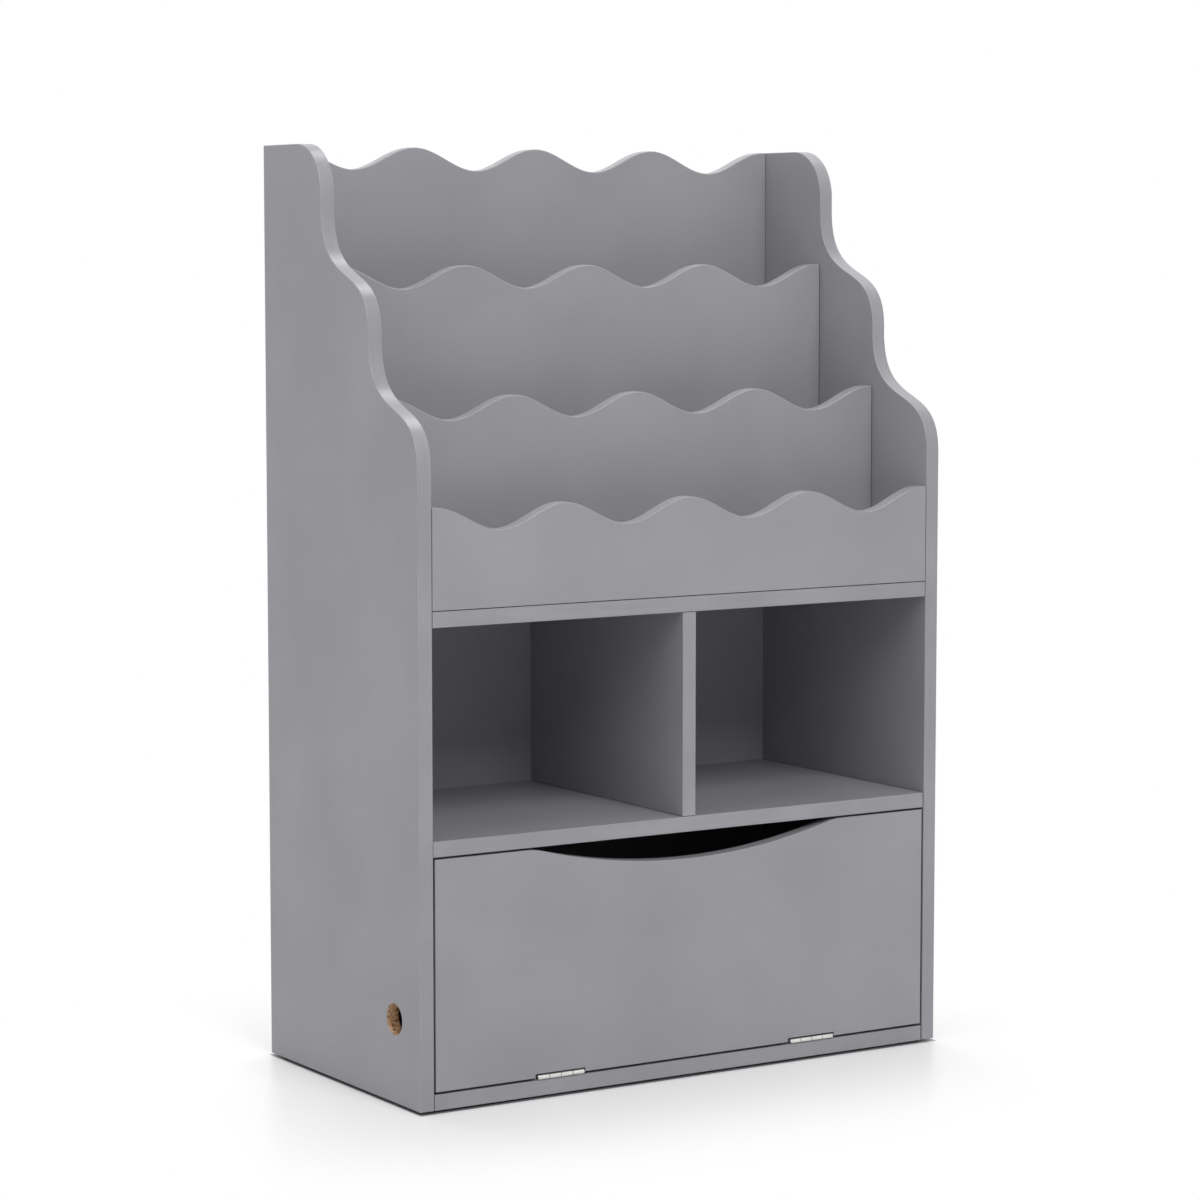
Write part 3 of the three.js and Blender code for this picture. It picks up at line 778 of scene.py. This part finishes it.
# Boards with a wavy top, standing across the cabinet
for node in ("bottom_tier_board", "middle_tier_board", "top_tier_board", "back_board"):
    low, high = boxOf(node)
    foot = softEdge if node == "back_board" else joint
    lift = {"back_board": 0, "bottom_tier_board": board["underTier"]}.get(node, gap)
    right = high.x - (gap if node == "back_board" else board["rightGap"]["tier"])
    edges = (foot, joint, board["crest"], joint)
    corners = rectangle(low.x + gap, low.z + lift, right, high.z, edges,
                        alongTop=wavyTop(low.x, high.x, high.z))
    makeBoard(node, corners, "front", high.y)

# Pocket floors and the cubby divider
for node in ("middle_pocket_floor", "top_pocket_floor"):
    low, high = boxOf(node)
    corners = rectangle(low.x + gap, low.y + gap, high.x - gap, high.y - gap, (joint,) * 4)
    makeBoard(node, corners, "flat", low.z)

low, high = boxOf("cubby_divider")
corners = rectangle(low.y, low.z + gap, high.y - gap, high.z - gap, (joint, joint, joint, softEdge))
makeBoard("cubby_divider", corners, "side", low.x)
print("tiers and divider made")


# Shelves, with the bores of their cams, bolts, dowels and screws
def shelfBores(name):
    clear = board["boreClearance"]
    bores = []
    for side, outward in outwards.items():
        camLow, camHigh = boxOf(f"{name}_{side}_cam")
        cam = (camLow + camHigh) / 2
        dowelLow, dowelHigh = boxOf(f"{name}_{side}_dowel")
        dowel = (dowelLow + dowelHigh) / 2
        mouth = innerFace(side) + outward * past
        dowelTip = (dowelHigh.x if side == "left" else dowelLow.x) - outward * clear
        level = dowel.z
        bores.append(rodShape(fitting["cam"] + 2 * clear, (cam.x, cam.y, camLow.z - past),
                              (cam.x, cam.y, camHigh.z + clear), largeRound))
        bores.append(rodShape(fitting["boltNeck"] + 2 * clear, (mouth, cam.y, level),
                              (cam.x, cam.y, level), smallRound))
        bores.append(rodShape(fitting["dowel"] + 2 * clear, (mouth, dowel.y, level),
                              (dowelTip, dowel.y, level), smallRound))
    return bores


shelfScrews = {"base": cabinetHingeScrews, "lower": catchScrews, "upper": {}}
for name, node in zip(shelfNames, ("base_board", "lower_shelf", "upper_shelf")):
    low, high = boxOf(node)
    left, right = low.x + board["leftGap"][name], high.x - board["rightGap"][name]
    corners = rectangle(left, low.y, right, high.y - gap, (softEdge, joint, joint, joint))
    screwBores = [screwBore(place) for places in shelfScrews[name].values() for place in places]
    makeBoard(node, corners, "flat", low.z, shelfBores(name) + screwBores)
print("shelves made")


# Flap, with its finger cut-out and the notches round the hinge barrels

flap = {
    "gripWidth": 347,
    "gripDepth": 24,
    "gripEase": 10,  # the top edge bends into the cut-out this far to either side of its ends
    "gripSteps": 72,
    "easeSteps": 10,
    "notchLength": 56,
    "notchDepth": 5.2,
    "notchHeight": 4.4,
    "bottomGap": 0.35,  # more than the CAD model leaves under the flap
    "rightGap": 0.3,
}


def gripTop(top):
    half, depth, ease = flap["gripWidth"] / 2, flap["gripDepth"], flap["gripEase"]
    radius = (half * half + depth * depth) / (2 * depth)
    sweep = asin((half - ease) / radius)
    centre = top - depth + radius
    endLevel = centre - radius * cos(sweep)
    right = []
    for step in range(flap["easeSteps"]):
        share = step / flap["easeSteps"]
        rest = 1 - share
        starting, turning, ending = rest * rest, 2 * rest * share, share * share
        across = starting * (half + ease) + turning * half + ending * (half - ease)
        up = starting * top + turning * top + ending * endLevel
        right.append((across, up, softEdge, 0))
    left = [(-across, up, edge, 0) for across, up, edge, _ in reversed(right)]
    arc = []
    for step in range(flap["gripSteps"] + 1):
        angle = sweep - 2 * sweep * step / flap["gripSteps"]
        arc.append((radius * sin(angle), centre - radius * cos(angle), softEdge, 0))
    return right + arc + left


low, high = boxOf("flap_door")
corners = rectangle(low.x, low.z + flap["bottomGap"], high.x - flap["rightGap"], high.z,
                    (softEdge,) * 4, alongTop=gripTop(high.z))
cuts = []
for word in hingeWords:
    across, half = centreOf(f"{word}_pin").x, flap["notchLength"] / 2
    cuts.append(blockShape((across - half, low.y - past, low.z - past),
                           (across + half, low.y + flap["notchDepth"], low.z + flap["notchHeight"]),
                           edgeFinish))
    cuts += [screwBore(place) for place in flapHingeScrews[word]]
cuts += [screwBore(place) for place in strikeScrews.values()]
makeBoard("flap_door", corners, "front", high.y, cuts)
print("flap made")


# Hinges, drawn about their pin: leaves of rolled sheet, with four knuckles between them

hinge = {
    "length": 52,
    "knuckles": 4,
    "knuckleGap": 0.6,
    "barrel": 5,
    "pinBore": 2.6,
    "pin": 2,
    "pinDome": 0.35,
    "pinWaist": (0.6, 0.25),  # share of the pin's radius at this share of its domed end
    "sheet": 0.9,
    "sheetStart": 2.8,
    "sheetEnd": 12.5,
    "tabEnd": 3.8,
    "tabSink": 0.03,  # keeps the end of a rolled tab inside its sheet
    "slit": 0.25,  # between a rolled end and its own sheet
    "rollSteps": 40,
    "boreFrom": -92,  # degrees round the pin from which the roll has an inside
    "lowStart": -100,  # degrees at which a sheet below the barrel turns into its roll
    "lowUnder": 0.6,  # how far behind the pin its lower face ends
    "lowOver": 0.9,  # and its upper face
    "edge": 0.12,
    "corner": 1.6,
    "cabinetLevel": -2.8,
    "flapLevel": -1.7,
}
pinAxis = Vector(frame["joints"][0]["pos_m"]) / mm


def arcPoints(radius, angles):
    return [(radius * cos(radians(angle)), radius * sin(radians(angle))) for angle in angles]


# Section of a knuckle: the sheet comes from behind, runs under the pin and rolls forward over it
def knuckleCorners(level):
    outer, inner = hinge["barrel"] / 2, hinge["pinBore"] / 2
    tab, sink, steps = hinge["tabEnd"], hinge["tabSink"], hinge["rollSteps"]
    top = level + hinge["sheet"]
    below = -level > outer
    start = hinge["lowStart"] if below else -degrees(asin(-level / outer))
    end = degrees(asin((top + hinge["slit"]) / outer)) - 360
    under = [(tab, level + sink)] + ([(hinge["lowUnder"], level)] if below else [])
    roll = [start + (end - start) * step / steps for step in range(steps + 1)]
    bore = [angle for angle in reversed(roll) if angle < hinge["boreFrom"]]
    overEnd = sqrt(max(inner * inner - top * top, 0)) if -top < inner else hinge["lowOver"]
    section = under + arcPoints(outer, roll) + arcPoints(inner, bore)
    section += [(overEnd, top), (tab, top - sink)]
    return [(across + pinAxis.y, up + pinAxis.z, hinge["edge"], 0)
            for across, up in reversed(section)]


def hingeLeaf(node, across, level, firstKnuckle, screwPlaces):
    edge, corner, length = hinge["edge"], hinge["corner"], hinge["length"]
    left, right = across - length / 2, across + length / 2
    start, end = pinAxis.y + hinge["sheetStart"], pinAxis.y + hinge["sheetEnd"]
    corners = [(left, start, edge, edge), (right, start, edge, edge),
               (right, end, edge, corner), (left, end, edge, corner)]
    sheet = plateShape(corners, "flat", pinAxis.z + level, hinge["sheet"])
    piece = newPiece(camelCase(node), [sheet], [nickelPlatedSteel])
    pitch, between = length / hinge["knuckles"], hinge["knuckleGap"]
    for knuckle in range(firstKnuckle, hinge["knuckles"], 2):
        begin = left + knuckle * pitch + between / 2
        carve(piece, [plateShape(knuckleCorners(level), "side", begin, pitch - between)], "UNION")
    carve(piece, [screwBore(place, onlyFinish) for place in screwPlaces])
    settle(piece, node)


def hingePin(node):
    radius, dome, length = hinge["pin"] / 2, hinge["pinDome"], hinge["length"]
    waist, waistUp = radius * hinge["pinWaist"][0], dome * hinge["pinWaist"][1]
    profile = [(0, 0), (waist, waistUp), (radius, dome), (radius, length - dome),
               (waist, length - waistUp), (0, length)]
    start = (boxOf(node)[0].x, pinAxis.y, pinAxis.z)
    place = Matrix.Translation(start) @ Matrix.Rotation(pi / 2, 4, "Y")
    pin = newPiece(camelCase(node), [turnedShape(profile, smallRound, place)], [nickelPlatedSteel])
    settle(pin, node)


for word in hingeWords:
    across = centreOf(f"{word}_pin").x
    hingeLeaf(f"{word}_cabinet_leaf", across, hinge["cabinetLevel"], 0, cabinetHingeScrews[word])
    hingeLeaf(f"{word}_flap_leaf", across, hinge["flapLevel"], 1, flapHingeScrews[word])
    hingePin(f"{word}_pin")
print("hinges made")


# Magnetic catches, with two steel pole plates that meet the strike plate on the flap

catch = {
    "corner": 2.5,
    "edge": 0.8,
    "edgeSteps": 3,
    "well": 5.6,  # round each screw's head
    "wellMouth": 0.5,
    "poleProud": 0.8,
    "poleWidth": 18,
    "poleDepth": 8,
    "poleThickness": 1.2,
    "poleLevels": (3.2, 8.6),  # above the catch's underside
    "poleEdge": 0.15,
    "poleCorner": 0.6,
    "poleBack": 0.3,  # room behind a pole plate, and the rounding of its rear corners
    "slotSide": 0.2,  # room beside a pole plate in its slot
    "slotOver": 0.15,  # and over and under it
    "strikeCorner": 2,
    "strikeEdge": 0.25,
}


def magneticCatch(side):
    node = f"{side}_catch"
    low, high = boxOf(node)
    middle = (low.x + high.x) / 2
    front = low.y + catch["poleProud"]
    edge, corner = catch["edge"], catch["corner"]
    corners = [(low.x, front, edge, edge), (high.x, front, edge, edge),
               (high.x, high.y, edge, corner), (low.x, high.y, edge, corner)]
    shape = plateShape(corners, "flat", low.z, high.z - low.z, catch["edgeSteps"])
    housing = newPiece(camelCase(node), [shape], [mouldedAbs])
    cuts = []
    for place in catchScrews[side]:
        at = place.translation
        cuts.append(screwBore(place, onlyFinish, catch["wellMouth"]))
        cuts.append(rodShape(catch["well"], (at.x, at.y, low.z - past), (at.x, at.y, at.z),
                             midRound, onlyFinish))
    half, thick, over = catch["poleWidth"] / 2, catch["poleThickness"], catch["slotOver"]
    reach, back = half + catch["slotSide"], front + catch["poleDepth"]
    for level in catch["poleLevels"]:
        foot = low.z + level
        cuts.append(blockShape((middle - reach, front - past, foot - over),
                               (middle + reach, back, foot + thick + over)))
    carve(housing, cuts)
    settle(housing, node)
    edge, corner, rear = catch["poleEdge"], catch["poleCorner"], catch["poleBack"]
    for number, level in enumerate(catch["poleLevels"], 1):
        corners = [(middle - half, low.y, edge, corner), (middle + half, low.y, edge, corner),
                   (middle + half, back - rear, edge, rear),
                   (middle - half, back - rear, edge, rear)]
        shape = plateShape(corners, "flat", low.z + level, thick)
        pole = newPiece(f"{side}CatchPole{number}", [shape], [nickelPlatedSteel])
        shade(pole)
        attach(pole, "cabinet")


def strikePlate(side):
    node = f"{side}_strike_plate"
    low, high = boxOf(node)
    corners = [(low.x, low.z), (high.x, low.z), (high.x, high.z), (low.x, high.z)]
    corners = [(*corner, catch["strikeEdge"], catch["strikeCorner"]) for corner in corners]
    shape = plateShape(corners, "front", high.y, high.y - low.y)
    plate = newPiece(camelCase(node), [shape], [nickelPlatedSteel])
    carve(plate, [screwBore(strikeScrews[side], onlyFinish)])
    settle(plate, node)


for side in outwards:
    magneticCatch(side)
    strikePlate(side)
print("catches made")


# Cams, bolts and dowels in the shelves

cam = {
    "rim": 1.1,
    "dish": 0.5,
    "chamfer": 0.4,
    "crossLength": 8,
    "crossWidth": 1.8,
    "crossDepth": 2,
    "chamber": 7,
    "chamberLength": 3,
    "slot": 4.6,
}
bolt = {
    "threadPitch": 1.5,
    "threadDepth": 0.5,
    "stepsPerTurn": 6,
    "plainNeck": 0,
    "sides": 20,
    "tip": 0.8,
    "tipShare": 0.7,  # of the thread's radius at the very tip
    "neckStart": 0.001,  # keeps the last ring of the thread and the first of the neck apart
    "headLength": 2.4,
    "headChamfer": 0.4,
}
dowel = {"flutes": 20, "fluteDepth": 0.22, "chamfer": 0.8, "stepsPerFlute": 6}


def camPiece(node, outward):
    low, high = boxOf(node)
    x, y, _ = (low + high) / 2
    radius, height = fitting["cam"] / 2, high.z - low.z
    dish, chamfer = cam["dish"], cam["chamfer"]
    inside = radius - cam["rim"]
    profile = [(0, dish), (inside - dish, dish), (inside, 0), (radius - chamfer, 0),
               (radius, chamfer), (radius, height), (0, height)]
    place = Matrix.Translation((x, y, low.z))
    disc = newPiece(camelCase(node), [turnedShape(profile, largeRound, place)], [dieCastZinc])
    at = Vector((x, y, low.z + board["thickness"] / 2))
    reach = Vector((cam["chamberLength"] / 2, 0, 0))
    mouth = at + Vector((outward * (radius + past), 0, 0))
    cuts = crossShapes(cam["crossLength"], cam["crossWidth"], cam["crossDepth"], place)
    cuts.append(rodShape(cam["chamber"], at - reach, at + reach, midRound, onlyFinish))
    cuts.append(rodShape(cam["slot"], at, mouth, smallRound, onlyFinish))
    carve(disc, cuts)
    settle(disc, node)


def boltPiece(node, side, outward):
    low, high = boxOf(node)
    _, y, z = (low + high) / 2
    wall = innerFace(side)
    intoShelf = Matrix.Rotation(-outward * pi / 2, 4, "Y")
    place = Matrix.Translation((wall, y, z)) @ intoShelf
    bite = wall - low.x if side == "left" else high.x - wall
    reach = high.x - wall if side == "left" else wall - low.x
    steps = round(bite / bolt["threadPitch"] * bolt["stepsPerTurn"])
    thread, neck, head = (fitting[key] / 2 for key in ("bolt", "boltNeck", "boltHead"))
    tip, chamfer, shoulder = bolt["tip"], bolt["headChamfer"], reach - bolt["headLength"]
    profile = [(0, -bite), (thread * bolt["tipShare"], -bite)]
    profile += [(thread, -bite + tip + (bite - tip) * step / steps) for step in range(steps + 1)]
    profile += [(neck, bolt["neckStart"]), (neck, shoulder), (head - chamfer, shoulder),
                (head, shoulder + chamfer), (head, reach - chamfer), (head - chamfer, reach),
                (0, reach)]
    shape = turnedShape(profile, bolt["sides"], place, onlyFinish, threadOf(bolt))
    shaft = newPiece(camelCase(node), [shape], [dieCastZinc])
    settle(shaft, node)


def dowelFlutes(height, angle):
    return -dowel["fluteDepth"] * (0.5 - 0.5 * cos(dowel["flutes"] * angle)) ** 2


def dowelPiece(node):
    low, high = boxOf(node)
    _, y, z = (low + high) / 2
    length, radius, chamfer = high.x - low.x, fitting["dowel"] / 2, dowel["chamfer"]
    place = Matrix.Translation((low.x, y, z)) @ Matrix.Rotation(pi / 2, 4, "Y")
    profile = [(0, 0), (radius - chamfer, 0), (radius, chamfer), (radius, length - chamfer),
               (radius - chamfer, length), (0, length)]
    sides = dowel["flutes"] * dowel["stepsPerFlute"]
    shape = turnedShape(profile, sides, place, onlyFinish, dowelFlutes)
    peg = newPiece(camelCase(node), [shape], [flutedBeech])
    settle(peg, node)


for name in shelfNames:
    for side, outward in outwards.items():
        camPiece(f"{name}_{side}_cam", outward)
        boltPiece(f"{name}_{side}_bolt", side, outward)
        dowelPiece(f"{name}_{side}_dowel")
print("fittings made")

# Glides, nailed under the side panels
glide = {"thickness": 2, "rounding": 0.7, "roundingSteps": 4, "nailTip": 1.6, "sides": 40}

for node in [f"{end}_{side}_glide" for end in ("front", "rear") for side in outwards]:
    low, high = boxOf(node)
    x, y, _ = (low + high) / 2
    radius, nail, height = (high.x - low.x) / 2, fitting["nail"] / 2, high.z - low.z
    thickness, rounding, steps = glide["thickness"], glide["rounding"], glide["roundingSteps"]
    profile = [(0, 0)]
    for step in range(steps + 1):
        lean = pi / 2 * step / steps
        profile.append((radius - rounding * (1 - sin(lean)), rounding * (1 - cos(lean))))
    profile += [(radius, thickness), (nail, thickness), (nail, height - glide["nailTip"]),
                (0, height)]
    place = Matrix.Translation((x, y, low.z))
    shape = turnedShape(profile, glide["sides"], place)
    foot = newPiece(camelCase(node), [shape], [mouldedPolyethylene])
    settle(foot, node)
print("glides made")


# Floor and light

studio = {
    "floorReach": 30000,
    "floor": "#e2e2e4",
    "floorGrain": "#dedee0",
    "floorGrainSize": 60,
    "floorRoughness": 0.3,
    "floorSeen": "#ffffff",  # how pale the lit floor looks to the camera
    "paintedShadowUnder": "#7a7a7d",  # painted shadow: how dark the floor looks to the camera under the cabinet, where the gap by the feet shows it
    "openBy": 3,  # the painted shadow turns into floorSeen over this distance from the cabinet
    "nearBy": 12,  # distance outside the cabinet at which
    "nearShare": 0.2,  # this part of its shadow has faded to white
    "whiteBy": 330,  # and the distance at which all of it has
    "ambient": 0.46,
    "hazeTop": 0.4,  # sine of the height from which the sky is at its full strength
    "lookAt": (0, 0, 450),  # what the lamps point at
}
# Turns run from the front (0) past the left side (90) to the back (180)
lamps = {
    "keySoftbox": {"turn": 4, "height": 41, "distance": 6000, "size": 2860, "power": 178},
    "sideSoftbox": {"turn": 82, "height": 22, "distance": 5000, "size": 3060, "power": 50},
    "backSoftbox": {"turn": 180, "height": 60, "distance": 2800, "size": 2000, "power": 32},
    "rimSoftbox": {"turn": 243, "height": 66, "distance": 2150, "size": 800, "power": 8},
}
# Hidden from mirror rays: mirrored, it made the crowns brighter than they are in the photo
unmirrored = ("backSoftbox",)
white = (1, 1, 1, 1)


def calculate(tree, operation, first, second=0):
    return addNode(tree, "ShaderNodeMath", {"operation": operation, 0: first, 1: second}).outputs[0]


# 1 for rays of the camera, a mirror or glass, and 0 for those that light things
def seenRays(tree):
    rays = addNode(tree, "ShaderNodeLightPath").outputs
    direct = calculate(tree, "MAXIMUM", rays["Is Camera Ray"], rays["Is Glossy Ray"])
    return calculate(tree, "MAXIMUM", direct, rays["Is Transmission Ray"])


def makeFloor():
    material, tree, shader, place = startMaterial("paintedStudioFloor")
    seen = seenRays(tree)
    grain = noise(tree, place, perMetre(studio["floorGrainSize"]), 2)
    paint = blend(tree, grain, studio["floorGrain"], studio["floor"])
    # Distance outside the cabinet's footprint
    low, high = cadBox
    parts = addNode(tree, "ShaderNodeSeparateXYZ", {0: place}).outputs
    outside = {}
    for axis, reach in (("X", high.x), ("Y", high.y)):
        beyond = calculate(tree, "SUBTRACT", calculate(tree, "ABSOLUTE", parts[axis]), reach)
        outside[axis] = calculate(tree, "MAXIMUM", beyond)
    flat = addNode(tree, "ShaderNodeCombineXYZ", outside).outputs[0]
    length = addNode(tree, "ShaderNodeVectorMath", {"operation": "LENGTH", 0: flat})
    distance = length.outputs["Value"]

    def within(by, share=1):
        return ramp(tree, distance, (0, by * mm), (0, share), "SMOOTHSTEP")

    # Painted shadow: to the camera the floor is darker under the cabinet, turning pale just outside
    # it
    seenWithPaintedShadow = blend(tree, within(studio["openBy"]), studio["paintedShadowUnder"], studio["floorSeen"])
    setNode(tree, shader, {
        "Base Color": blend(tree, seen, paint, seenWithPaintedShadow),
        "Roughness": studio["floorRoughness"],
    })
    near = within(studio["nearBy"], studio["nearShare"])
    share = calculate(tree, "MULTIPLY", seen, ramp(tree, within(studio["whiteBy"]), end=(near, 1)))
    glow = addNode(tree, "ShaderNodeEmission", {"Color": white, "Strength": 1}).outputs[0]
    both = addNode(tree, "ShaderNodeMixShader", {0: share, 1: shader.outputs[0], 2: glow})
    setNode(tree, tree.nodes["Material Output"], {"Surface": both.outputs[0]})
    reach = studio["floorReach"]
    corners = [Vector((x * reach, y * reach, 0)) for x, y in ((-1, -1), (1, -1), (1, 1), (-1, 1))]
    floor = newPiece("studioFloor", [(corners, [[0, 1, 2, 3]], [onlyFinish])], [material])


makeFloor()

world = bpy.data.worlds.new("studioWorld")
scene.world = world
world.use_nodes = True
tree = world.node_tree
# The sky is dark at the horizon, where no softbox stands, and full from about 24 degrees up
direction = addNode(tree, "ShaderNodeTexCoord").outputs["Generated"]
rise = addNode(tree, "ShaderNodeSeparateXYZ", {0: direction}).outputs["Z"]
sky = ramp(tree, rise, (0, studio["hazeTop"]), (0, studio["ambient"]))
strength = ramp(tree, seenRays(tree), end=(sky, 1))
setNode(tree, tree.nodes["Background"], {"Color": white, "Strength": strength})

for name, lamp in lamps.items():
    light = bpy.data.lights.new(name, "AREA")
    light.shape = "SQUARE"
    light.size = lamp["size"] * mm
    light.energy = lamp["power"]
    box = bpy.data.objects.new(name, light)
    box.visible_glossy = name not in unmirrored
    turn, height = radians(lamp["turn"]), radians(lamp["height"])
    away = Vector((-sin(turn) * cos(height), -cos(turn) * cos(height), sin(height)))
    box.location = (Vector(studio["lookAt"]) + away * lamp["distance"]) * mm
    box.rotation_euler = away.to_track_quat("Z", "Y").to_euler()
    scene.collection.objects.link(box)

scene.view_settings.view_transform = "Standard"
print("floor and light ready")
